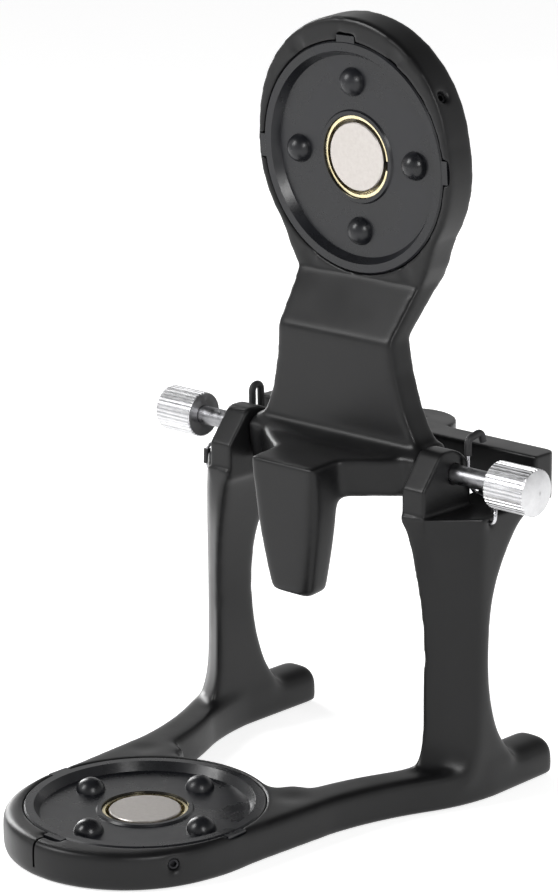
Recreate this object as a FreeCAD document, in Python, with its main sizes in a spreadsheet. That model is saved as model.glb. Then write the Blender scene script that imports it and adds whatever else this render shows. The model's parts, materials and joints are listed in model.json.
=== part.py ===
import FreeCAD, Part

import math
import os

import Sketcher
from FreeCAD import Placement, Rotation, Vector

# Hinge-type dental articulator with magnetic mounting plates, standing open.
# Row frame: millimetres, +Z up, +Y to the rear, +X to the right. The origin is under the centre
# of the lower mounting plate, on the surface that the frame stands on.
# The upper frame is drawn in its own frame: origin on the hinge axis, +Z up its arm, +Y behind.

DIMENSIONS = {
    # mounting plates and the rings that carry them
    "recess_side": 30.2,
    "recess_floor": 4.5,
    "ring_wall": 2.2,
    "nose_wall": 1.7,
    "nose_shift": 4.4,
    "ring_height": 9.9,
    "plate_gap": 0.15,
    "plate_floor": 3.2,
    "rim_width": 2.5,
    "rim_slope": 1.4,
    "dome_pitch": 19.4,
    "dome_side": 3.75,
    "dome_rise": 3.2,
    "tab_width": 6.0,
    "tab_reach": 1.5,
    "collar_wall": 1.0,
    "collar_rise": 0.5,
    "slit_width": 0.5,
    "slit_depth": 7.0,
    "slit_offset": 1.8,
    "mark_side": 3.2,
    "mark_depth": 0.35,
    "mark_place": 26.0,
    # magnets, brass sleeves and pole discs
    "magnet_side": 8.95,
    "magnet_length": 5.2,
    "magnet_edge": 0.25,
    "sleeve_clearance": 0.95,
    "sleeve_wall": 0.75,
    "sleeve_fit": 0.2,
    "sleeve_length": 4.9,
    "sleeve_split": 14.0,
    "disc_thickness": 1.2,
    "well_floor": 1.5,
    # hinge: pins, knobs and the ears that carry them
    "hinge_reach": 74.6,
    "hinge_height": 85.3,
    "pin_side": 2.5,
    "pin_tip_side": 1.5,
    "fit_gap": 0.05,
    "socket_depth": 8.0,
    "tip_reach": 5.6,
    "pin_show": 13.9,
    "knob_side": 6.05,
    "knob_length": 13.2,
    "knob_dome": 0.9,
    "knob_edge": 0.25,
    "knob_bore_end": 4.9,
    "knurl_depth": 0.4,
    "ear_gap": 0.4,
    "ear_width": 7.3,
    "ear_rise": 6.3,
    # lower frame
    "shelf_drop": 9.3,
    "foot_step": 1.8,
    "foot_width": 13.2,
    "foot_round": 4.6,
    "foot_overhang": 28.0,
    "post_inset": 0.5,
    "bar_setback": 18.4,
    "bar_depth": 8.6,
    "bar_drop": 9.7,
    "bar_rise": 2.7,
    "bar_round": 3.0,
    "lobe_side": 12.0,
    "lobe_offset": 7.6,
    # upper frame
    "crossbar_end": 29.2,
    "crossbar_drop": 7.4,
    "reach_offset": 0.4,
    "upper_face": 8.2,
    "arm_front": -2.5,
    "arm_back": 6.0,
    "neck_half": 20.8,
    "neck_lap": 1.2,
    "bend_length": 12.2,
    "lean": 4.6,
    "tongue_front": -24.4,
    "tongue_depth": 10.0,
    "tongue_half": 10.8,
    "tongue_end": -33.0,
    # screws and wires
    "grub_angle": 33.0,
    "grub_height": 6.2,
    "grub_side": 1.5,
    "grub_length": 2.6,
    "grub_bore": 8.0,
    "stop_side": 2.5,
    "stop_length": 18.6,
    "stop_offset": 9.6,
    "wire_side": 0.5,
    "wire_fit": 0.1,
    "hose_side": 0.95,
    "hose_gap": 0.04,
    "wire_bend": 1.6,
}
KNURLS = 36
DOMES = 4
TABS = 3
SIDES = (("right", 1), ("left", -1))
OVERCUT = 1.0
SHEET = "sizes"

doc = FreeCAD.newDocument("articulator")
sheet = doc.addObject("Spreadsheet::Sheet", SHEET)
for row, (word, number) in enumerate(DIMENSIONS.items(), start=1):
    sheet.set(f"A{row}", word)
    sheet.set(f"B{row}", str(number))
    sheet.setAlias(f"B{row}", word)
doc.recompute()


class Size:
    """A length with its value and the sheet expression that gives it."""

    def __init__(self, value, text=None):
        self.value = float(value)
        self.text = text if text is not None else repr(float(value))

    def __add__(self, other):
        other = size(other)
        return Size(self.value + other.value, f"({self.text} + {other.text})")

    def __sub__(self, other):
        other = size(other)
        return Size(self.value - other.value, f"({self.text} - {other.text})")

    def __mul__(self, factor):
        return Size(self.value * factor, f"({self.text} * {float(factor)!r})")

    def __neg__(self):
        return self * -1

    __radd__ = __add__
    __rmul__ = __mul__


def size(number):
    """Gives a plain number the same form as a named size."""
    return number if isinstance(number, Size) else Size(number)


D = {word: Size(sheet.get(word), f"{SHEET}.{word}") for word in DIMENSIONS}

# Sizes that follow from the driving ones, so that what fits together stays together.
D["ring_side"] = D["recess_side"] + D["ring_wall"]
D["nose_side"] = D["recess_side"] + D["nose_wall"]
D["nose_tip"] = D["nose_side"] + D["nose_shift"]
D["rim_top"] = D["ring_height"] - D["recess_floor"]
D["sleeve_inner"] = D["magnet_side"] + D["sleeve_clearance"]
D["sleeve_outer"] = D["sleeve_inner"] + D["sleeve_wall"]
D["plate_bore"] = D["sleeve_outer"] + D["sleeve_fit"]
D["collar_side"] = D["plate_bore"] + D["collar_wall"]
D["disc_side"] = D["plate_bore"]
D["well_side"] = D["disc_side"] + D["sleeve_fit"]
D["disc_top"] = D["well_floor"] + D["disc_thickness"]
D["ear_near"] = D["crossbar_end"] + D["ear_gap"]
D["ear_far"] = D["ear_near"] + D["ear_width"]
D["ear_top"] = D["hinge_height"] + D["ear_rise"]
D["knob_near"] = D["ear_far"] + D["pin_show"]
D["knob_far"] = D["knob_near"] + D["knob_length"]
D["foot_inner"] = D["ear_far"] - D["foot_step"]
D["foot_outer"] = D["foot_inner"] + D["foot_width"]
D["foot_end"] = D["hinge_reach"] + D["foot_overhang"]
D["post_inner"] = D["foot_inner"] + D["post_inset"]
D["post_outer"] = D["foot_outer"] - D["post_inset"]
D["shelf_height"] = D["hinge_height"] - D["shelf_drop"]
D["bar_front"] = D["hinge_reach"] + D["bar_setback"]
D["bar_back"] = D["bar_front"] + D["bar_depth"]
D["bar_bottom"] = D["hinge_height"] - D["bar_drop"]
D["bar_top"] = D["hinge_height"] + D["bar_rise"]
D["stop_reach"] = D["bar_front"] + D["stop_offset"]
D["plate_reach"] = D["hinge_reach"] + D["reach_offset"]
D["upper_back"] = D["upper_face"] + D["ring_height"]
D["bend_high"] = D["plate_reach"] - D["ring_side"] + D["neck_lap"]
D["bend_low"] = D["bend_high"] - D["bend_length"]
D["grub_bore_side"] = D["grub_side"] + D["fit_gap"]
D["wire_bore_side"] = D["wire_side"] + D["wire_fit"]


# ---- sketches and features -------------------------------------------------------------------


def new_body(label):
    body = doc.addObject("PartDesign::Body", label)
    body.Label = label
    return body


def place(body, x=0.0, y=0.0, z=0.0, axis=Vector(0, 0, 1), angle=0.0):
    """Puts a finished body at its place, bound to the sheet."""
    x, y, z, angle = size(x), size(y), size(z), size(angle)
    body.Placement = Placement(Vector(x.value, y.value, z.value), Rotation(axis, angle.value))
    body.setExpression("Placement.Base.x", x.text)
    body.setExpression("Placement.Base.y", y.text)
    body.setExpression("Placement.Base.z", z.text)
    body.setExpression("Placement.Rotation.Angle", angle.text)


def attached_sketch(body, name, role):
    """A sketch on one of the body's own origin planes."""
    plane = next(each for each in body.Origin.OriginFeatures if each.Role == role)
    drawn = body.newObject("Sketcher::SketchObject", name)
    drawn.AttachmentSupport = [(plane, "")]
    drawn.MapMode = "FlatFace"
    return drawn


def new_sketch(body, name, role, offset=0.0):
    """A sketch moved along the normal of one of the body's origin planes."""
    drawn = attached_sketch(body, name, role)
    offset = size(offset)
    drawn.AttachmentOffset = Placement(Vector(0, 0, offset.value), Rotation())
    drawn.setExpression("AttachmentOffset.Base.z", offset.text)
    return drawn


def pin_point(drawn, geometry, point, x, y):
    """Fixes one point of a sketch at x, y from the sketch's origin."""
    for kind, length in (("DistanceX", size(x)), ("DistanceY", size(y))):
        rule = drawn.addConstraint(
            Sketcher.Constraint(kind, -1, 1, geometry, point, length.value)
        )
        drawn.setExpression(f"Constraints[{rule}]", length.text)


def circle(drawn, x, y, radius):
    x, y, radius = size(x), size(y), size(radius)
    shape = Part.Circle(Vector(x.value, y.value, 0), Vector(0, 0, 1), radius.value)
    index = drawn.addGeometry(shape, False)
    pin_point(drawn, index, 3, x, y)
    rule = drawn.addConstraint(Sketcher.Constraint("Radius", index, radius.value))
    drawn.setExpression(f"Constraints[{rule}]", radius.text)


def arc_between(start, end, radius):
    """The arc of a signed radius from start to end: positive turns left, negative right."""
    chord = end - start
    half = chord.Length / 2
    rise = math.sqrt(max(radius * radius - half * half, 0.0))
    left = Vector(-chord.y, chord.x, 0).normalize()
    side = 1 if radius > 0 else -1
    centre = (start + end) * 0.5 + left * (rise * side)
    middle = centre - left * (abs(radius) * side)
    return Part.Arc(start, middle, end)


def outline(drawn, corners):
    """A closed outline. A corner is (x, y), or (x, y, radius) when an arc leads to the next."""
    corners = [tuple(size(part) for part in corner) for corner in corners]
    points = [Vector(corner[0].value, corner[1].value, 0) for corner in corners]
    count = len(corners)
    for index, corner in enumerate(corners):
        start, end = points[index], points[(index + 1) % count]
        if len(corner) == 3:
            curve = arc_between(start, end, corner[2].value)
        else:
            curve = Part.LineSegment(start, end)
        added = drawn.addGeometry(curve, False)
        turned = len(corner) == 3 and corner[2].value < 0
        first, last = (2, 1) if turned else (1, 2)
        pin_point(drawn, added, first, corner[0], corner[1])
        following = corners[(index + 1) % count]
        pin_point(drawn, added, last, following[0], following[1])
        if len(corner) == 3:
            length = corner[2] * (1 if corner[2].value > 0 else -1)
            rule = drawn.addConstraint(Sketcher.Constraint("Radius", added, length.value))
            drawn.setExpression(f"Constraints[{rule}]", length.text)


def box_outline(drawn, x_low, y_low, x_high, y_high):
    outline(drawn, [(x_low, y_low), (x_high, y_low), (x_high, y_high), (x_low, y_high)])


def pad(body, profile, length, name, midplane=False, turned=False):
    made = body.newObject("PartDesign::Pad", name)
    made.Profile = profile
    length = size(length)
    made.Length = length.value
    made.setExpression("Length", length.text)
    made.Midplane = midplane
    made.Reversed = turned
    return made


def pocket(body, profile, length, name, midplane=False, turned=False):
    """Cuts against the sketch's normal, or along it when turned."""
    doc.recompute()
    before = body.Shape.Volume
    made = body.newObject("PartDesign::Pocket", name)
    made.Profile = profile
    length = size(length)
    made.Length = length.value
    made.setExpression("Length", length.text)
    made.Midplane = midplane
    made.Reversed = turned
    doc.recompute()
    if not body.Shape.Volume < before:
        raise RuntimeError(f"{name} cuts nothing")
    return made


def revolve(body, profile, axis, name, angle=360.0):
    made = body.newObject("PartDesign::Revolution", name)
    made.Profile = profile
    made.ReferenceAxis = (profile, [axis])
    angle = size(angle)
    made.Angle = angle.value
    made.setExpression("Angle", angle.text)
    return made


def loft(body, profiles, name, ruled):
    made = body.newObject("PartDesign::AdditiveLoft", name)
    made.Profile = profiles[0]
    made.Sections = profiles[1:]
    made.Ruled = ruled
    return made


def around(body, feature, profile, axis, count, name, angle=360.0):
    """Repeats a feature about an axis of its own sketch."""
    made = body.newObject("PartDesign::PolarPattern", name)
    made.Originals = [feature]
    made.Axis = (profile, [axis])
    made.Angle = angle
    made.Occurrences = count
    body.Tip = made
    return made


# ---- shared cuts in both rings ---------------------------------------------------------------


def cut_ring(body, role, centre, face, name, toward):
    """Cuts a ring's plate recess, magnet well, tab notches and tip slit."""
    above = face + OVERCUT
    plate_depth = D["rim_top"] + OVERCUT
    recess = new_sketch(body, f"{name}_recess_outline", role, above)
    circle(recess, 0, centre, D["recess_side"])
    pocket(body, recess, plate_depth, f"{name}_recess")
    well = new_sketch(body, f"{name}_well_outline", role, above)
    circle(well, 0, centre, D["well_side"])
    pocket(body, well, D["ring_height"] - D["well_floor"] + OVERCUT, f"{name}_well")

    reach = D["recess_side"] + D["tab_reach"] + D["plate_gap"]
    half = D["tab_width"] * 0.5 + D["plate_gap"]
    sides = new_sketch(body, f"{name}_side_notch_outline", role, above)
    box_outline(sides, -reach, centre - half, reach, centre + half)
    pocket(body, sides, plate_depth, f"{name}_side_notches")
    tip = new_sketch(body, f"{name}_tip_notch_outline", role, above)
    box_outline(tip, -half, centre, half, centre + toward * reach)
    pocket(body, tip, plate_depth, f"{name}_tip_notch")

    slit = new_sketch(body, f"{name}_slit_outline", role, above)
    wall = centre + toward * (D["recess_side"] + D["ring_wall"] * 0.4)
    beyond = centre + toward * (D["nose_tip"] + OVERCUT)
    half = D["slit_width"] * 0.5
    box_outline(slit, -D["slit_offset"] - half, wall, -D["slit_offset"] + half, beyond)
    pocket(body, slit, D["slit_depth"] + OVERCUT, f"{name}_slit")


def grub_axis(upper, reach):
    """The point of a set screw's axis at a radius from its ring's centre, and its direction."""
    angle = math.radians(D["grub_angle"].value)
    across, along = reach * math.cos(angle), reach * math.sin(angle)
    if upper:
        depth = D["upper_back"].value - D["grub_height"].value
        point = Vector(across, depth, D["plate_reach"].value + along)
        return point, Vector(math.cos(angle), 0, math.sin(angle))
    point = Vector(across, -along, D["grub_height"].value)
    return point, Vector(math.cos(angle), -math.sin(angle), 0)


def cut_grub_hole(body, name, upper):
    """The radial hole of the set screw, from just inside the recess to the ring's outside."""
    point, direction = grub_axis(upper, D["recess_side"].value - D["ring_wall"].value * 0.3)
    hole = attached_sketch(body, f"{name}_grub_outline", "XY_Plane")
    hole.AttachmentOffset = Placement(point, Rotation(Vector(0, 0, 1), direction))
    circle(hole, 0, 0, D["grub_bore_side"])
    pocket(body, hole, D["grub_bore"], f"{name}_grub_hole", turned=True)


# ---- lower frame -----------------------------------------------------------------------------


def post_sections():
    """Corners of a post at each height: inner front, front, outer, outer rear, inner rear."""
    axis, shelf = D["hinge_reach"], D["shelf_height"]
    inner, outer, ear = D["post_inner"], D["post_outer"], D["ear_near"] + D["ear_gap"]
    levels = [
        (0.08, 0.0, (-17.0, -14.0, -6.0, 14.0, 16.0)),
        (0.145, 0.0, (-14.0, -10.6, -4.6, 11.4, 12.6)),
        (0.21, 0.0, (-12.0, -8.6, -3.2, 7.4, 9.0)),
        (0.305, 0.0, (-11.5, -8.0, -2.6, 4.3, 6.0)),
        (0.42, 0.0, (-11.4, -7.8, -2.5, 2.6, 4.0)),
        (0.565, 0.0, (-11.5, -7.9, -2.5, 2.4, 3.5)),
        (0.7, 0.8, (-12.0, -8.4, -2.6, 3.7, 4.0)),
        (0.815, 2.2, (-12.5, -9.8, -2.6, 7.2, 6.6)),
        (0.915, 4.0, (-12.8, -11.4, -2.3, 12.4, 12.0)),
    ]
    sections = []
    for share, lean_in, (front, cheek, side, rear, heel) in levels:
        sections.append((shelf * share, [
            (inner - lean_in, axis + front), (inner + 6.1 - lean_in * 0.8, axis + cheek),
            (outer, axis + side), (outer, axis + rear), (inner - lean_in, axis + heel),
        ]))
    sections.append((shelf, [
        (ear, axis - 12.9), (D["ear_far"] + 0.6, axis - 12.5), (outer, axis - 1.5),
        (outer, axis + 21.5), (ear, axis + 21.5),
    ]))
    return sections


def add_arm(body, side, name):
    """One arm of the base, from the ring's side to where the post stands on it."""
    outer, inner, axis, ring = D["foot_outer"], D["foot_inner"], D["hinge_reach"], D["ring_side"]
    end = axis + 11
    arm = new_sketch(body, f"{name}_arm_outline", "XY_Plane")
    outline(arm, [
        (0, ring * 0.88),
        (side * ring, 0),
        (side * (ring + 2.2), axis * 0.43, -90 * side),
        (side * (outer - 5.7), axis * 0.777, 52 * side),
        (side * outer, axis + 3.4),
        (side * outer, end),
        (side * inner, end),
        (side * inner, axis + 0.4, -70 * side),
        (side * (inner - 4), axis * 0.764, 90 * side),
        (side * (ring * 0.725), ring * 1.065, 5 * side),
        (side * (ring * 0.54), ring * 0.91),
    ])
    pad(body, arm, D["ring_height"], f"{name}_arm")


def add_foot(body, side, name):
    """The rear end of an arm: a bar with a round top that reaches behind the post."""
    outer, inner, top = side * D["foot_outer"], side * D["foot_inner"], D["ring_height"]
    bend = D["foot_round"]
    start = D["hinge_reach"] + 9
    foot = new_sketch(body, f"{name}_foot_outline", "XZ_Plane", -D["foot_end"])
    outline(foot, [
        (inner, 0), (outer, 0), (outer, top - bend, bend * side), (outer - bend * side, top),
        (inner + bend * side, top, bend * side), (inner, top - bend),
    ])
    pad(body, foot, D["foot_end"] - start, f"{name}_foot")


def add_post(body, side, name):
    """One post, its flare into the foot and the ear that carries the hinge pin."""
    profiles = []
    for index, (height, corners) in enumerate(post_sections()):
        level = new_sketch(body, f"{name}_post_level_{index}", "XY_Plane", height)
        outline(level, [(side * x, y) for x, y in corners])
        profiles.append(level)
    loft(body, profiles, f"{name}_post", False)

    axis, shelf, top = D["hinge_reach"], D["shelf_height"], D["ear_top"]
    start = D["ear_near"] if side > 0 else -D["ear_far"]
    ear = new_sketch(body, f"{name}_ear_outline", "YZ_Plane", start)
    outline(ear, [
        (axis - 12.1, shelf - 3),
        (axis + 6.4, shelf - 3),
        (axis + 6.4, top - 6, 9.5),
        (axis - 0.5, top),
        (axis - 3.4, top, 3.5),
        (axis - 5.9, top - 1.1),
        (axis - 12.1, top - 8.7),
    ])
    pad(body, ear, D["ear_width"], f"{name}_ear")


def add_bar(body):
    """The bar that joins the posts behind the hinge, with the lobe of the height stop."""
    end, front, back, bend = D["foot_outer"], D["bar_front"], D["bar_back"], D["bar_round"]
    height = D["bar_top"] - D["bar_bottom"]
    bar = new_sketch(body, "bar_outline", "XY_Plane", D["bar_bottom"])
    outline(bar, [
        (-end, front), (end, front), (end, back - bend, bend), (end - bend, back),
        (-end + bend, back, bend), (-end, back - bend),
    ])
    pad(body, bar, height, "bar")
    lobe = new_sketch(body, "lobe_outline", "XY_Plane", D["bar_bottom"])
    circle(lobe, 0, front + D["lobe_offset"], D["lobe_side"])
    pad(body, lobe, height, "lobe")
    trim = new_sketch(body, "lobe_trim_outline", "XY_Plane", D["bar_top"])
    reach = D["lobe_side"] + OVERCUT
    box_outline(trim, -reach, front - reach, reach, front)
    pocket(body, trim, height, "lobe_trim")
    stop = new_sketch(body, "stop_bore_outline", "XY_Plane", D["bar_top"] + OVERCUT)
    circle(stop, 0, D["stop_reach"], D["stop_side"] + D["fit_gap"])
    pocket(body, stop, height + 2 * OVERCUT, "stop_bore")


def make_lower_frame():
    body = new_body("lower_frame")
    ring = new_sketch(body, "ring_outline", "XY_Plane")
    circle(ring, 0, 0, D["ring_side"])
    pad(body, ring, D["ring_height"], "ring")
    nose = new_sketch(body, "nose_outline", "XY_Plane")
    circle(nose, 0, -D["nose_shift"], D["nose_side"])
    pad(body, nose, D["ring_height"], "nose")
    for name, side in SIDES:
        add_arm(body, side, name)
        add_foot(body, side, name)
    for name, side in SIDES:
        add_post(body, side, name)
    add_bar(body)
    cut_ring(body, "XY_Plane", size(0), D["ring_height"], "lower", -1)
    cut_grub_hole(body, "lower", False)

    bore = new_sketch(body, "pin_bore_outline", "YZ_Plane")
    circle(bore, D["hinge_reach"], D["hinge_height"], D["pin_side"] + D["fit_gap"])
    pocket(body, bore, D["foot_outer"] * 2, "pin_bores", midplane=True)
    for name, side in SIDES:
        setback, height = wire_hole(side)
        hole = new_sketch(body, f"{name}_wire_hole_outline", "YZ_Plane",
                          side * (D["post_outer"] + OVERCUT))
        circle(hole, setback, height, D["wire_bore_side"])
        pocket(body, hole, 6, f"{name}_wire_hole", turned=side < 0)

    marks = new_sketch(body, "mark_outline", "XY_Plane", D["ring_height"])
    for _, side in SIDES:
        circle(marks, side * D["mark_place"], D["mark_place"], D["mark_side"])
    pocket(body, marks, D["mark_depth"], "ejector_marks")
    return body


# ---- upper frame -----------------------------------------------------------------------------


def add_upper_arm(body):
    """The arm from the ring's neck down to the crossbar, stepped forward at its bend."""
    face, back = D["upper_face"], D["upper_back"]
    front, rear = D["arm_front"], D["arm_back"]
    high, low = D["bend_high"], D["bend_low"]
    levels = [
        (high + 0.4, 20.8, face, back),
        (low, 19.4, front, rear),
        (low * 0.73, 20.4, front, rear),
        (low * 0.44, 22.7, front, rear),
        (low * 0.25, 25.3, front, rear),
        (low * 0.095, 28.8, front - 0.3, rear + 0.2),
    ]
    profiles = []
    for index, (height, half, near, far) in enumerate(levels):
        level = new_sketch(body, f"arm_level_{index}", "XY_Plane", height)
        share = half / levels[0][1]
        box_outline(level, D["neck_half"] * -share, near, D["neck_half"] * share, far)
        profiles.append(level)
    loft(body, profiles, "arm", True)


def add_tongue(body):
    """The web in front of the crossbar and the tongue that hangs from it."""
    near_face = D["tongue_front"]
    far_face = near_face + D["tongue_depth"]
    half = D["tongue_half"]
    wide = D["crossbar_end"] - 1.2
    web = new_sketch(body, "web_outline", "XY_Plane", -D["crossbar_drop"])
    outline(web, [
        (-wide, 0), (-wide, -3.5), (-half - 0.2, far_face - 0.5), (-half - 0.2, far_face - 3),
        (half + 0.2, far_face - 3), (half + 0.2, far_face - 0.5), (wide, -3.5), (wide, 0),
    ])
    pad(body, web, D["crossbar_drop"] + 3.2, "web")
    levels = [
        (size(3.2), 1.0, 0.0, 0.0),
        (D["tongue_end"] * 0.27, 0.98, -0.2, 0.0),
        (D["tongue_end"] * 0.64, 0.83, -0.3, -0.9),
        (D["tongue_end"], 0.61, -0.2, -2.0),
    ]
    profiles = []
    for index, (height, share, near, far) in enumerate(levels):
        level = new_sketch(body, f"tongue_level_{index}", "XY_Plane", height)
        box_outline(level, half * -share, near_face + near, half * share, far_face + far)
        profiles.append(level)
    loft(body, profiles, "tongue", False)


def make_upper_frame():
    """The upper casting, drawn about the hinge axis."""
    body = new_body("upper_frame")
    back, reach, ring_side = D["upper_back"], D["plate_reach"], D["ring_side"]
    ring = new_sketch(body, "upper_ring_outline", "XZ_Plane", -back)
    circle(ring, 0, reach, ring_side)
    pad(body, ring, D["ring_height"], "upper_ring")
    nose = new_sketch(body, "upper_nose_outline", "XZ_Plane", -back)
    circle(nose, 0, reach + D["nose_shift"], D["nose_side"])
    pad(body, nose, D["ring_height"], "upper_nose")
    neck = new_sketch(body, "neck_outline", "XZ_Plane", -back)
    low, half, shoulder = D["bend_high"], D["neck_half"], ring_side * 0.932
    outline(neck, [
        (-half, low), (half, low), (half + 2.6, low + 5, -60), (shoulder, reach - ring_side * 0.37),
        (ring_side * 0.62, reach), (ring_side * -0.62, reach),
        (-shoulder, reach - ring_side * 0.37, -60), (-half - 2.6, low + 5),
    ])
    pad(body, neck, D["ring_height"], "neck")
    add_upper_arm(body)

    drop = D["crossbar_drop"]
    bar = new_sketch(body, "crossbar_outline", "YZ_Plane")
    outline(bar, [
        (-6.0, -drop), (4.0, -drop, 4), (7.0, -drop + 3.4), (7.0, 3.2), (5.5, 5.6), (-2.6, 5.6),
        (-6.0, 3.4),
    ])
    pad(body, bar, D["crossbar_end"] * 2, "crossbar", midplane=True)
    add_tongue(body)
    cut_ring(body, "XZ_Plane", reach, -D["upper_face"], "upper", 1)
    cut_grub_hole(body, "upper", True)

    for name, side in SIDES:
        socket = new_sketch(body, f"{name}_socket_outline", "YZ_Plane", side * D["crossbar_end"])
        circle(socket, 0, 0, D["pin_tip_side"] + D["fit_gap"])
        pocket(body, socket, D["socket_depth"], f"{name}_socket", turned=side < 0)
    marks = new_sketch(body, "upper_mark_outline", "XZ_Plane", -D["upper_face"])
    across, along = ring_side * 0.5, ring_side * 0.85
    for x, z in ((-across, along), (across, along), (-across, -along), (across, -along)):
        circle(marks, x, reach + z, D["mark_side"] * 0.7)
    pocket(body, marks, D["mark_depth"], "upper_ejector_marks")
    place(body, 0, D["hinge_reach"], D["hinge_height"], Vector(1, 0, 0), D["lean"])
    return body


# ---- plates, magnets, sleeves, discs ---------------------------------------------------------


def seat(body, upper, height):
    """Puts a turned piece at a height above a ring's back, in the lower or the upper ring."""
    if not upper:
        place(body, 0, 0, height)
        return
    lean = math.radians(D["lean"].value)
    along = D["plate_reach"].value
    behind = D["upper_back"].value - height.value
    y = D["hinge_reach"].value + behind * math.cos(lean) - along * math.sin(lean)
    z = D["hinge_height"].value + behind * math.sin(lean) + along * math.cos(lean)
    place(body, 0, y, z, Vector(1, 0, 0), D["lean"] + 90)


def make_plate(label, upper):
    """A moulded plate: floor, raised rim, four domes, three keys and a magnet collar."""
    body = new_body(label)
    edge = D["recess_side"] - D["plate_gap"]
    bore = D["plate_bore"]
    floor, rim = D["plate_floor"], D["rim_top"]
    section = new_sketch(body, f"{label}_section", "XZ_Plane")
    outline(section, [
        (bore, 0), (edge, 0), (edge, rim - 0.4), (edge - 0.4, rim),
        (edge - D["rim_width"], rim), (edge - D["rim_width"] - D["rim_slope"], floor),
        (D["collar_side"] + 0.4, floor), (D["collar_side"], floor + D["collar_rise"]),
        (bore, floor + D["collar_rise"]),
    ])
    revolve(body, section, "V_Axis", f"{label}_disc")
    dome = new_sketch(body, f"{label}_dome_section", "XZ_Plane")
    pitch, side, rise = D["dome_pitch"], D["dome_side"], D["dome_rise"]
    ball = (side.value ** 2 + rise.value ** 2) / (2 * rise.value)
    outline(dome, [
        (pitch, floor - 1), (pitch + side, floor - 1), (pitch + side, floor, ball),
        (pitch, floor + rise),
    ])
    line = dome.addGeometry(Part.LineSegment(Vector(pitch.value, 0, 0),
                                             Vector(pitch.value, 1, 0)), True)
    pin_point(dome, line, 1, pitch, 0)
    pin_point(dome, line, 2, pitch, 1)
    made = revolve(body, dome, "Axis0", f"{label}_dome")
    doc.recompute()
    around(body, made, dome, "V_Axis", DOMES, f"{label}_domes")
    doc.recompute()
    tab = new_sketch(body, f"{label}_tab_outline", "XY_Plane")
    half = D["tab_width"] * 0.5
    box_outline(tab, edge - 1.5, -half, edge + D["tab_reach"], half)
    made = pad(body, tab, rim - 0.2, f"{label}_tab")
    doc.recompute()
    around(body, made, tab, "N_Axis", TABS, f"{label}_tabs", 180.0)
    doc.recompute()
    seat_plate(body, upper)
    return body


def seat_plate(body, upper):
    """The three keys face the ring's sides and its tip."""
    seat(body, upper, D["recess_floor"])
    if not upper:
        place(body, 0, 0, D["recess_floor"], Vector(0, 0, 1), 180)


def make_magnet(label, upper):
    body = new_body(label)
    disc = new_sketch(body, f"{label}_outline", "XY_Plane")
    circle(disc, 0, 0, D["magnet_side"])
    made = pad(body, disc, D["magnet_length"], f"{label}_disc")
    doc.recompute()
    edge = body.newObject("PartDesign::Chamfer", f"{label}_chamfer")
    edge.Base = (made, ["Edge1", "Edge3"])
    edge.Size = D["magnet_edge"].value
    edge.setExpression("Size", D["magnet_edge"].text)
    seat(body, upper, D["disc_top"])
    return body


def make_sleeve(label, upper):
    """A split brass ring round the magnet."""
    body = new_body(label)
    section = new_sketch(body, f"{label}_section", "XZ_Plane")
    box_outline(section, D["sleeve_inner"], 0, D["sleeve_outer"], D["sleeve_length"])
    revolve(body, section, "V_Axis", f"{label}_ring", 360 + -D["sleeve_split"])
    seat(body, upper, D["disc_top"])
    return body


def make_disc(label, upper):
    """A steel pole disc under the magnet."""
    body = new_body(label)
    flat = new_sketch(body, f"{label}_outline", "XY_Plane")
    circle(flat, 0, 0, D["disc_side"])
    pad(body, flat, D["disc_thickness"], f"{label}_disc")
    seat(body, upper, D["well_floor"])
    return body


# ---- pins, knobs and screws ------------------------------------------------------------------


def make_pin(label, side):
    """A threaded hinge pin with a plain tip that turns in the crossbar's socket."""
    body = new_body(label)
    tip = D["crossbar_end"] - D["tip_reach"]
    shoulder = D["crossbar_end"] + 1.2
    end = D["knob_far"] - D["knob_bore_end"] - 0.1
    section = new_sketch(body, f"{label}_section", "XZ_Plane")
    outline(section, [
        (tip, 0), (tip + 0.6, D["pin_tip_side"] - 0.6), (tip + 1.0, D["pin_tip_side"]),
        (shoulder, D["pin_tip_side"]), (shoulder + 0.8, D["pin_side"]), (end, D["pin_side"]),
        (end, 0),
    ])
    revolve(body, section, "H_Axis", f"{label}_turned")
    place(body, 0, D["hinge_reach"], D["hinge_height"], Vector(0, 0, 1), 0 if side > 0 else 180)
    return body


def make_knob(label, side):
    """A straight-knurled knob with a slightly domed end, pressed on the hinge pin."""
    body = new_body(label)
    near, far, side_edge = D["knob_near"], D["knob_far"], D["knob_side"]
    bore = D["pin_side"] + D["fit_gap"]
    dome, bevel, depth = D["knob_dome"], D["knob_edge"], D["knurl_depth"]
    face = side_edge.value - bevel.value
    ball = (face * face + dome.value ** 2) / (2 * dome.value)
    section = new_sketch(body, f"{label}_section", "XZ_Plane")
    outline(section, [
        (near, bore + bevel), (near, side_edge - bevel), (near + bevel, side_edge),
        (far - dome - bevel, side_edge), (far - dome, side_edge - bevel, -ball), (far, 0),
        (far - D["knob_bore_end"], 0), (far - D["knob_bore_end"], bore), (near + bevel, bore),
    ])
    revolve(body, section, "H_Axis", f"{label}_turned")
    groove = new_sketch(body, f"{label}_groove_outline", "YZ_Plane", near - OVERCUT)
    half = side_edge * (math.pi / KNURLS * 0.75)
    outline(groove, [(0, side_edge - depth), (half, side_edge + 0.2), (-half, side_edge + 0.2)])
    made = pocket(body, groove, D["knob_length"] - dome + OVERCUT, f"{label}_groove", turned=True)
    around(body, made, groove, "N_Axis", KNURLS, f"{label}_knurl")
    doc.recompute()
    place(body, 0, D["hinge_reach"], D["hinge_height"], Vector(0, 0, 1), 0 if side > 0 else 180)
    return body


def hex_outline(drawn, radius):
    """A hexagon socket centred on the sketch's origin."""
    angles = [math.radians(60 * index) for index in range(6)]
    outline(drawn, [(radius * math.cos(angle), radius * math.sin(angle)) for angle in angles])


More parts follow.
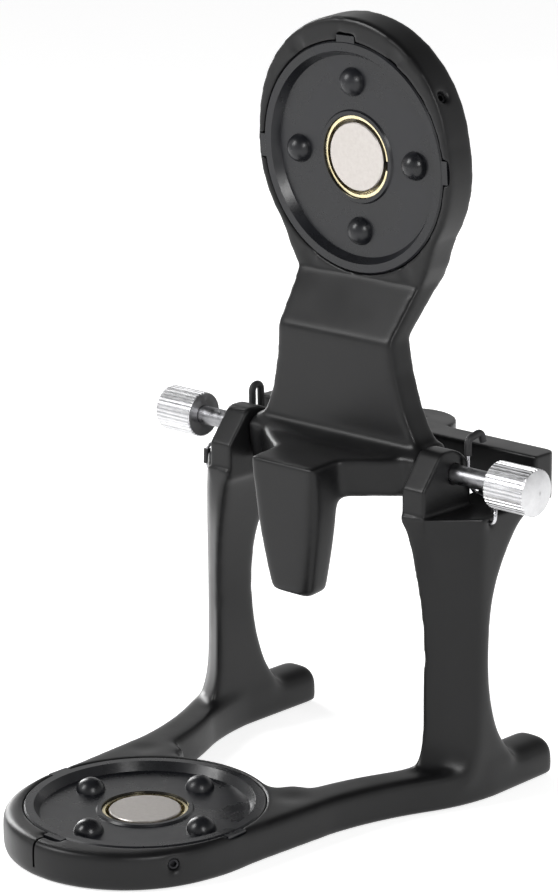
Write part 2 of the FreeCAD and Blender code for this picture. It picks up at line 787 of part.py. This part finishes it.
def make_screw(label, radius, length, tip, socket):
    """A headless screw along +Z: cone tip at the origin, hexagon socket at the far end."""
    body = new_body(label)
    section = new_sketch(body, f"{label}_section", "XZ_Plane")
    outline(section, [
        (0, 0), (radius - tip, 0), (radius, tip), (radius, length - 0.3),
        (radius - 0.3, length), (0, length),
    ])
    revolve(body, section, "V_Axis", f"{label}_turned")
    opening = new_sketch(body, f"{label}_socket_outline", "XY_Plane", length)
    hex_outline(opening, socket)
    pocket(body, opening, socket * 1.6, f"{label}_socket")
    return body


def make_plate_screw(label, upper):
    """A grub screw in a ring's wall that holds the plate's edge."""
    body = make_screw(label, D["grub_side"], D["grub_length"], size(0.6), size(0.85))
    doc.recompute()
    point, direction = grub_axis(upper, D["recess_side"].value + D["fit_gap"].value)
    placed = Placement(point, Rotation(Vector(0, 0, 1), direction))
    if upper:
        hinge = Vector(0, D["hinge_reach"].value, D["hinge_height"].value)
        lean = Rotation(Vector(1, 0, 0), D["lean"].value)
        placed = Placement(hinge, lean).multiply(placed)
    body.Placement = placed
    return body


def make_stop_screw():
    """The height stop, upright through the lobe of the rear bar."""
    body = make_screw("height_stop_screw", D["stop_side"], D["stop_length"], size(0.8), size(1.45))
    doc.recompute()
    place(body, 0, D["stop_reach"], D["bar_top"] + 0.6 - D["stop_length"])
    return body


# ---- spring wires ----------------------------------------------------------------------------


def rounded_path(points):
    """Straight runs joined by tangent arcs, for a wire."""
    edges = []
    start = points[0]
    for before, corner, after in zip(points, points[1:], points[2:]):
        into = (corner - before).normalize()
        out = (after - corner).normalize()
        turn = into.getAngle(out)
        cut = min(D["wire_bend"].value * math.tan(turn / 2), 0.45 * (corner - before).Length,
                  0.45 * (after - corner).Length)
        first, last = corner - into * cut, corner + out * cut
        inward = (out - into).normalize()
        radius = cut / math.tan(turn / 2)
        middle = corner + inward * (radius / math.cos(turn / 2) - radius)
        edges.append(Part.LineSegment(start, first).toShape())
        edges.append(Part.Arc(first, middle, last).toShape())
        start = last
    edges.append(Part.LineSegment(start, points[-1]).toShape())
    return Part.Wire(edges)


def tube(points, radius):
    """A round bar along a route."""
    direction = points[1] - points[0]
    ring = Part.Wire(Part.Circle(points[0], direction, radius).toShape())
    return rounded_path(points).makePipeShell([ring], True, True)


def add_shape(label, shape):
    made = doc.addObject("Part::Feature", label)
    made.Label = label
    made.Shape = shape


def wire_hole(side):
    """Where a wire enters its post: setback along Y and height."""
    if side > 0:
        return D["hinge_reach"] + 1.3, D["shelf_height"] - 1.8
    return D["hinge_reach"] - 1.1, D["shelf_height"] - 4.8


def wire_route(side):
    """Corners of a retaining wire, from its hole in the post to the tip of its hook."""
    axis, top = D["hinge_reach"].value, D["ear_top"].value
    setback, hole = (each.value for each in wire_hole(side))
    outside = D["post_outer"].value + D["hose_side"].value + 0.15
    shelf = D["shelf_height"].value + D["wire_side"].value + 0.3
    ear = D["ear_far"].value + D["hose_side"].value + 0.2
    behind = D["pin_side"].value + D["hose_side"].value + 0.3
    route = [
        (outside - 5.0, setback, hole),
        (outside, setback, hole),
        (outside, setback + 0.3, shelf + 0.9),
        (outside - 5.6, axis + 8.5, shelf + 0.4),
        (outside - 9.4, axis + 11.4, shelf),
        (ear - 0.6, axis + 11.4, shelf + 0.2),
    ]
    if side > 0:
        route += [
            (ear - 0.2, axis + behind + 3.2, shelf + 2.4),
            (ear, axis + behind, top - 9.0),
            (ear, axis + behind, top + 2.2),
            (ear + 0.3, axis + behind + 4.6, top + 3.3),
            (ear + 0.5, axis + behind + 5.3, top + 0.7),
        ]
    else:
        route += [
            (ear - 0.2, axis + behind + 4.4, shelf + 2.4),
            (ear, axis + behind + 1.7, top - 9.0),
            (ear, axis + behind + 1.7, top + 2.9),
            (ear + 0.2, axis + behind + 5.1, top + 2.9),
            (ear + 0.2, axis + behind + 5.3, top - 4.4),
        ]
    return [Vector(side * x, y, z) for x, y, z in route]


def make_hose(label, route, skipped):
    """A black hose over a stretch of the wire, from a little past the stretch's start."""
    begin = route[0] + (route[1] - route[0]).normalize() * skipped
    points = [begin] + route[1:]
    inner = D["wire_side"].value + D["hose_gap"].value
    add_shape(label, tube(points, D["hose_side"].value).cut(tube(points, inner)))


# ---- build, check and write ------------------------------------------------------------------

make_lower_frame()
make_upper_frame()
for level, is_upper in (("lower", False), ("upper", True)):
    make_plate(f"{level}_mounting_plate", is_upper)
    make_magnet(f"{level}_magnet", is_upper)
    make_sleeve(f"{level}_magnet_sleeve", is_upper)
    make_disc(f"{level}_pole_disc", is_upper)
    make_plate_screw(f"{level}_plate_screw", is_upper)
for hand, direction in SIDES:
    make_pin(f"{hand}_hinge_pin", direction)
    make_knob(f"{hand}_knob", direction)
    wire = wire_route(direction)
    add_shape(f"{hand}_retaining_wire", tube(wire, D["wire_side"].value))
    make_hose(f"{hand}_wire_sleeve", wire[7:], 7.0 if direction > 0 else 3.0)
    if direction < 0:
        outer_end = [wire[1] * 0.8 + wire[2] * 0.2, wire[1] * 0.2 + wire[2] * 0.8]
        make_hose(f"{hand}_end_sleeve", outer_end, 0)
make_stop_screw()
doc.recompute()

for each in doc.Objects:
    if {"Invalid", "Error"} & set(each.State):
        raise RuntimeError(f"{each.Label} failed: {each.State}")

os.makedirs("parts", exist_ok=True)
for piece in doc.Objects:
    if piece.TypeId in ("PartDesign::Body", "Part::Feature"):
        shape = piece.Shape
        if shape.isNull() or not shape.isValid() or not shape.Solids:
            raise RuntimeError(f"{piece.Label} has no valid solid")
        shape.exportStep(os.path.join("parts", f"{piece.Label}.step"))
        print(f"{piece.Label}: {len(shape.Solids)} solid(s), {shape.Volume:.0f} mm3")
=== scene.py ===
import json
import math

import bmesh
import bpy
from mathutils import Matrix, Vector


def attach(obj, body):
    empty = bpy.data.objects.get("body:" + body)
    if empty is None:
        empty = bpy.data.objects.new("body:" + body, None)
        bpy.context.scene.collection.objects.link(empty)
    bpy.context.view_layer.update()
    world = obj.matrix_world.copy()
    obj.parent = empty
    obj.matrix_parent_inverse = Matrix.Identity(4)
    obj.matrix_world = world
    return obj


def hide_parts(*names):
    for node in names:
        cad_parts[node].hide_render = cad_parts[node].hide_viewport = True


# A magnetic dental articulator, standing open. Everything is in metres, in the frame of the CAD
# part: origin under the lower mounting plate, +Z up, +Y to the rear, +X to the right.

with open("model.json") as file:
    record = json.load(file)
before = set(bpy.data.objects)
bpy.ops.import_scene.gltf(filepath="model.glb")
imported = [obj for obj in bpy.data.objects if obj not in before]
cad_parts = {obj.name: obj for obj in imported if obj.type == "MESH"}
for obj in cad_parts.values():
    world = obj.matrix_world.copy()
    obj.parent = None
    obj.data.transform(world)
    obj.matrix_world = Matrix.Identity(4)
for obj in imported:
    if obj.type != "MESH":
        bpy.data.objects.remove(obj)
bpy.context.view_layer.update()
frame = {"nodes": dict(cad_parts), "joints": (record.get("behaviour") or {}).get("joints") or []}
MM = 0.001

JOINTS = {joint["name"]: joint for joint in frame["joints"]}
HINGE = Vector(JOINTS["upper_hinge"]["pos_m"])
LEAN = math.radians(4.6)
ARM_UP = Vector((0, -math.sin(LEAN), math.cos(LEAN)))

# The castings' skins: voxel, face limit, rounds and factor of smoothing.
SKIN_VOXEL = 0.36 * MM
SKIN_FACES = 190_000
SMOOTH_ROUNDS = 120
SMOOTH_FACTOR = 0.9
WELD_GAP = 1e-6
SHARP_ANGLE = math.radians(55)

# How far each region is rounded, from 0 for crisp to 1 for most.
RIM_SOFT = 0.08
BASE_SOFT = 0.9
EAR_SOFT = 0.06
UPPER_RING_SOFT = 0.3
ARM_SOFT = 0.45

# Where the regions start and end: radii in a ring and round a pin, heights over the floor in the
# lower frame, and heights over the hinge along the arm in the upper one.
RING_EDGE = (31.2 * MM, 32.6 * MM)
PIN_EDGE = (3.0 * MM, 4.5 * MM)
SHELF_BAND = (70 * MM, 75 * MM)
CROSSBAR_BAND = (-8 * MM, 4 * MM)
ARM_FOOT = 20 * MM
RING_FOOT = 42 * MM

# The rings, and the slit at a ring's tip: across, outward from the centre, and up from the face.
RING_TOP = 9.9 * MM
UPPER_FACE = 8.2 * MM
JOINT_TO_PLATE = 75.0 * MM
SLIT_LOW = Vector((-2.15, 30.9, -7.0)) * MM
SLIT_HIGH = Vector((-1.45, 38.0, 1.5)) * MM


# ---- camera, light and floor -----------------------------------------------------------------

CAMERA_AZIMUTH = math.radians(41.76)
CAMERA_ELEVATION = math.radians(15.42)
CAMERA_DISTANCE = 0.839
CAMERA_LENS = 130.4
CAMERA_SHIFT_X = -0.0739
FLOOR_SIDE = 4.0
# Sines of the elevation where the tent starts and stops dimming, and its strength below and above.
TENT = (0.30, 0.80, 0.85, 0.12)


def add_camera():
    """The camera looks past the hinge from the right front, as the photograph does."""
    back = Vector((
        math.sin(CAMERA_AZIMUTH) * math.cos(CAMERA_ELEVATION),
        -math.cos(CAMERA_AZIMUTH) * math.cos(CAMERA_ELEVATION),
        math.sin(CAMERA_ELEVATION),
    ))
    data = bpy.data.cameras.new("camera")
    data.lens = CAMERA_LENS
    data.sensor_width = 36
    data.shift_x = CAMERA_SHIFT_X
    data.clip_start = 0.01
    camera = bpy.data.objects.new("camera", data)
    camera.location = HINGE + back * CAMERA_DISTANCE
    camera.rotation_euler = back.to_track_quat("Z", "Y").to_euler()
    bpy.context.scene.collection.objects.link(camera)
    bpy.context.scene.camera = camera


def add_softbox(name, place, aim, width, height, power):
    data = bpy.data.lights.new(name, "AREA")
    data.shape = "RECTANGLE"
    data.size, data.size_y = width, height
    data.energy = power
    light = bpy.data.objects.new(name, data)
    light.location = place
    light.rotation_euler = (Vector(place) - Vector(aim)).to_track_quat("Z", "Y").to_euler()
    bpy.context.scene.collection.objects.link(light)


def add_floor():
    """A pale floor that glows a little, so that it stays near white away from the lights."""
    mesh = bpy.data.meshes.new("floor")
    side = FLOOR_SIDE
    mesh.from_pydata([(-side, -side, 0), (side, -side, 0), (side, side, 0), (-side, side, 0)],
                     [], [(0, 1, 2, 3)])
    floor = bpy.data.objects.new("floor", mesh)
    bpy.context.scene.collection.objects.link(floor)
    material, shader = new_material("floor")
    shader.inputs["Base Color"].default_value = (0.9, 0.9, 0.9, 1)
    shader.inputs["Roughness"].default_value = 0.8
    shader.inputs["Emission Color"].default_value = (1, 1, 1, 1)
    shader.inputs["Emission Strength"].default_value = 0.66
    floor.data.materials.append(material)


def add_world():
    """A white tent: bright near the horizon, dim overhead, and plain white to the camera."""
    world = bpy.data.worlds.new("world")
    world.use_nodes = True
    tree = world.node_tree
    tree.nodes.clear()
    out = tree.nodes.new("ShaderNodeOutputWorld")
    tent, white = (tree.nodes.new("ShaderNodeBackground") for _ in range(2))
    white.inputs["Color"].default_value = (1, 1, 1, 1)
    direction = tree.nodes.new("ShaderNodeTexCoord")
    parts = tree.nodes.new("ShaderNodeSeparateXYZ")
    height = tree.nodes.new("ShaderNodeMapRange")
    height.interpolation_type = "SMOOTHSTEP"
    for key, value in zip(("From Min", "From Max", "To Min", "To Max"), TENT):
        height.inputs[key].default_value = value
    path = tree.nodes.new("ShaderNodeLightPath")
    mix = tree.nodes.new("ShaderNodeMixShader")
    tree.links.new(direction.outputs["Generated"], parts.inputs[0])
    tree.links.new(parts.outputs["Z"], height.inputs["Value"])
    tree.links.new(height.outputs["Result"], tent.inputs["Strength"])
    tree.links.new(path.outputs["Is Camera Ray"], mix.inputs["Fac"])
    tree.links.new(tent.outputs[0], mix.inputs[1])
    tree.links.new(white.outputs[0], mix.inputs[2])
    tree.links.new(mix.outputs[0], out.inputs["Surface"])
    bpy.context.scene.world = world


def add_lights():
    """Two soft boxes in front and one at the left rim."""
    aim = (0, 0.04, 0.09)
    add_softbox("key_left", (-0.55, -0.75, 0.75), aim, 0.35, 0.5, 7)
    add_softbox("key_right", (0.95, -0.45, 0.65), aim, 0.3, 0.45, 5)
    add_softbox("rim_left", (-0.9, 0.35, 0.35), aim, 0.25, 0.7, 5)


# ---- materials -------------------------------------------------------------------------------


def new_material(name):
    material = bpy.data.materials.new(name)
    material.use_nodes = True
    return material, material.node_tree.nodes["Principled BSDF"]


def node(material, kind):
    return material.node_tree.nodes.new(kind)


def wire(material, source, target):
    material.node_tree.links.new(source, target)


def noise(material, scale, detail=3.0, rough=0.5):
    """Noise over the object's own coordinates, so it stays on the piece as it moves."""
    place = node(material, "ShaderNodeTexCoord")
    made = node(material, "ShaderNodeTexNoise")
    made.inputs["Scale"].default_value = scale
    made.inputs["Detail"].default_value = detail
    made.inputs["Roughness"].default_value = rough
    wire(material, place.outputs["Object"], made.inputs["Vector"])
    return made.outputs["Fac"]


def spread(material, source, low, high, start=0.35, end=0.65):
    """Maps a 0 to 1 pattern to a range of values."""
    made = node(material, "ShaderNodeMapRange")
    for key, value in (("From Min", start), ("From Max", end), ("To Min", low), ("To Max", high)):
        made.inputs[key].default_value = value
    wire(material, source, made.inputs["Value"])
    return made.outputs["Result"]


def tint(material, source, dark, light):
    made = node(material, "ShaderNodeValToRGB")
    made.color_ramp.elements[0].position = 0.35
    made.color_ramp.elements[1].position = 0.65
    made.color_ramp.elements[0].color = (*dark, 1)
    made.color_ramp.elements[1].color = (*light, 1)
    wire(material, source, made.inputs["Fac"])
    return made.outputs["Color"]


def bump(material, source, height, strength=1.0, onto=None):
    """Adds relief of that height in metres, on top of any relief given."""
    made = node(material, "ShaderNodeBump")
    made.inputs["Strength"].default_value = strength
    made.inputs["Distance"].default_value = height
    wire(material, source, made.inputs["Height"])
    if onto is not None:
        wire(material, onto, made.inputs["Normal"])
    return made.outputs["Normal"]


def painted_casting():
    """Satin black paint on a die casting: slight orange peel and uneven gloss."""
    material, shader = new_material("painted_casting")
    broad = noise(material, 60, 4)
    fine = noise(material, 900, 3)
    wire(material, tint(material, broad, (0.0035, 0.0035, 0.0038), (0.006, 0.006, 0.0065)),
         shader.inputs["Base Color"])
    wire(material, spread(material, broad, 0.30, 0.42), shader.inputs["Roughness"])
    relief = bump(material, broad, 0.00012, 0.35)
    wire(material, bump(material, fine, 0.00002, 0.5, relief), shader.inputs["Normal"])
    shader.inputs["Specular IOR Level"].default_value = 0.3
    return material


def moulded_plate():
    """Black moulded plastic with a slightly blue cast and fine handling marks."""
    material, shader = new_material("moulded_plate")
    broad = noise(material, 90, 5, 0.6)
    fine = noise(material, 1600, 2)
    wire(material, tint(material, broad, (0.0055, 0.0058, 0.007), (0.009, 0.0095, 0.012)),
         shader.inputs["Base Color"])
    wire(material, spread(material, broad, 0.22, 0.36), shader.inputs["Roughness"])
    shader.inputs["Specular IOR Level"].default_value = 0.4
    relief = bump(material, broad, 0.00005, 0.3)
    wire(material, bump(material, fine, 0.00001, 0.6, relief), shader.inputs["Normal"])
    return material


def metal(name, dark, light, rough_low, rough_high, scale=400.0, relief=0.00001):
    material, shader = new_material(name)
    shader.inputs["Metallic"].default_value = 1.0
    broad = noise(material, scale, 5, 0.6)
    wire(material, tint(material, broad, dark, light), shader.inputs["Base Color"])
    wire(material, spread(material, broad, rough_low, rough_high), shader.inputs["Roughness"])
    wire(material, bump(material, broad, relief, 0.5), shader.inputs["Normal"])
    return material


def rubber_hose():
    material, shader = new_material("rubber_hose")
    grain = noise(material, 1500, 3)
    wire(material, tint(material, grain, (0.008, 0.008, 0.009), (0.016, 0.016, 0.017)),
         shader.inputs["Base Color"])
    wire(material, spread(material, grain, 0.5, 0.65), shader.inputs["Roughness"])
    wire(material, bump(material, grain, 0.00002, 0.5), shader.inputs["Normal"])
    return material


# ---- pieces ----------------------------------------------------------------------------------


def assign(piece, material):
    piece.data.materials.clear()
    piece.data.materials.append(material)


def welded_copy(name, node_name):
    """A copy of a CAD node's mesh with its split edges joined."""
    mesh = frame["nodes"][node_name].data.copy()
    mesh.name = name
    made = bmesh.new()
    made.from_mesh(mesh)
    bmesh.ops.remove_doubles(made, verts=made.verts, dist=WELD_GAP)
    made.to_mesh(mesh)
    made.free()
    piece = bpy.data.objects.new(name, mesh)
    bpy.context.scene.collection.objects.link(piece)
    return piece


def apply_modifiers(piece):
    bpy.context.view_layer.update()
    graph = bpy.context.evaluated_depsgraph_get()
    mesh = bpy.data.meshes.new_from_object(piece.evaluated_get(graph))
    piece.modifiers.clear()
    piece.data = mesh


def smooth_step(value, low, high):
    """0 below low, 1 above high, and a soft rise between."""
    share = min(max((value - low) / (high - low), 0.0), 1.0)
    return share * share * (3 - 2 * share)


def cast_skin(name, node_name, body, softness):
    """The casting with its edges rounded, as a die and paint leave them.

    softness(point) is from 0, where an edge stays crisp, to 1, where it is rounded most."""
    piece = welded_copy(name, node_name)
    remesh = piece.modifiers.new("remesh", "REMESH")
    remesh.mode = "VOXEL"
    remesh.voxel_size = SKIN_VOXEL
    apply_modifiers(piece)
    group = piece.vertex_groups.new(name="soft")
    for vertex in piece.data.vertices:
        group.add([vertex.index], softness(vertex.co), "REPLACE")
    smooth = piece.modifiers.new("smooth", "SMOOTH")
    smooth.factor = SMOOTH_FACTOR
    smooth.iterations = SMOOTH_ROUNDS
    smooth.vertex_group = "soft"
    thin = piece.modifiers.new("thin", "DECIMATE")
    triangles = 2 * len(piece.data.polygons)
    thin.ratio = min(1.0, SKIN_FACES / triangles)
    apply_modifiers(piece)
    cut_slit(piece, body == "upper")
    piece.data.shade_smooth()
    piece.data.set_sharp_from_angle(angle=SHARP_ANGLE)
    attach(piece, body)
    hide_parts(node_name)
    return piece


def pin_bore(point):
    """0 inside the bores and sockets of the hinge pins, 1 away from them."""
    away = math.hypot(point.y - HINGE.y, point.z - HINGE.z)
    return smooth_step(away, *PIN_EDGE)


def ring_edge(from_centre, softest):
    """Crisp in a ring's recess and on its rim, and soft at its outer edge and beyond."""
    return RIM_SOFT + (softest - RIM_SOFT) * smooth_step(from_centre, *RING_EDGE)


def lower_softness(point):
    """Posts, arms and feet are soft; ears, shelf, bar and the recess's rim are crisp."""
    if point.z > SHELF_BAND[0]:
        below = 1 - smooth_step(point.z, *SHELF_BAND)
        return (EAR_SOFT + (1 - EAR_SOFT) * below) * pin_bore(point)
    return ring_edge(math.hypot(point.x, point.y), BASE_SOFT)


def upper_softness(point):
    """Tongue and crossbar are soft; the recess's rim is crisp."""
    above = (point - HINGE).dot(ARM_UP)
    if above > RING_FOOT:
        return ring_edge(math.hypot(point.x, above - JOINT_TO_PLATE), UPPER_RING_SOFT)
    if above > ARM_FOOT:
        return ARM_SOFT
    if above < CROSSBAR_BAND[0]:
        return 1.0
    below = 1 - smooth_step(above, *CROSSBAR_BAND)
    return (ARM_SOFT + (1 - ARM_SOFT) * below) * pin_bore(point)


def cut_slit(piece, upper):
    """The narrow saw cut through a ring's wall at its tip."""
    box = bmesh.new()
    bmesh.ops.create_cube(box, size=1.0)
    for vertex in box.verts:
        place = Vector(
            high if share > 0 else low
            for share, low, high in zip(vertex.co, SLIT_LOW, SLIT_HIGH)
        )
        if upper:
            local = Vector((place.x, UPPER_FACE - place.z, JOINT_TO_PLATE + place.y))
            vertex.co = HINGE + Matrix.Rotation(LEAN, 3, "X") @ local
        else:
            vertex.co = Vector((place.x, -place.y, RING_TOP + place.z))
    bmesh.ops.recalc_face_normals(box, faces=box.faces)
    mesh = bpy.data.meshes.new("slit_cutter")
    box.to_mesh(mesh)
    box.free()
    cutter = bpy.data.objects.new("slit_cutter", mesh)
    bpy.context.scene.collection.objects.link(cutter)
    cut = piece.modifiers.new("slit", "BOOLEAN")
    cut.operation = "DIFFERENCE"
    cut.solver = "EXACT"
    cut.object = cutter
    apply_modifiers(piece)
    bpy.data.objects.remove(cutter)


add_camera()
add_world()
add_lights()
add_floor()

CASTING = painted_casting()
PLATE = moulded_plate()
NICKEL = metal("nickel", (0.50, 0.47, 0.445), (0.57, 0.54, 0.515), 0.34, 0.46, 900)
BRASS = metal("brass", (0.72, 0.62, 0.36), (0.86, 0.77, 0.52), 0.22, 0.34)
ALUMINIUM = metal("aluminium", (0.62, 0.62, 0.63), (0.72, 0.72, 0.73), 0.28, 0.40)
STEEL = metal("steel", (0.20, 0.20, 0.21), (0.34, 0.34, 0.35), 0.25, 0.4)
BLACK_STEEL = metal("black_steel", (0.02, 0.02, 0.022), (0.045, 0.045, 0.048), 0.3, 0.45)
SPRING_STEEL = metal("spring_steel", (0.5, 0.5, 0.52), (0.66, 0.66, 0.68), 0.2, 0.35)
HOSE = rubber_hose()

for name, body, softness in (
    ("lower_frame", "lower", lower_softness),
    ("upper_frame", "upper", upper_softness),
):
    skin = cast_skin(f"{name}_skin", name, body, softness)
    assign(skin, CASTING)

FINISHES = {
    "frame": CASTING, "mounting_plate": PLATE, "magnet": NICKEL, "magnet_sleeve": BRASS,
    "pole_disc": STEEL, "plate_screw": BLACK_STEEL, "hinge_pin": STEEL, "knob": ALUMINIUM,
    "retaining_wire": SPRING_STEEL, "wire_sleeve": HOSE, "end_sleeve": HOSE,
    "stop_screw": BLACK_STEEL,
}
for node_name, piece in frame["nodes"].items():
    kind = node_name.split("_", 1)[1]
    assign(piece, FINISHES[kind])

bpy.context.scene.view_settings.view_transform = "Standard"
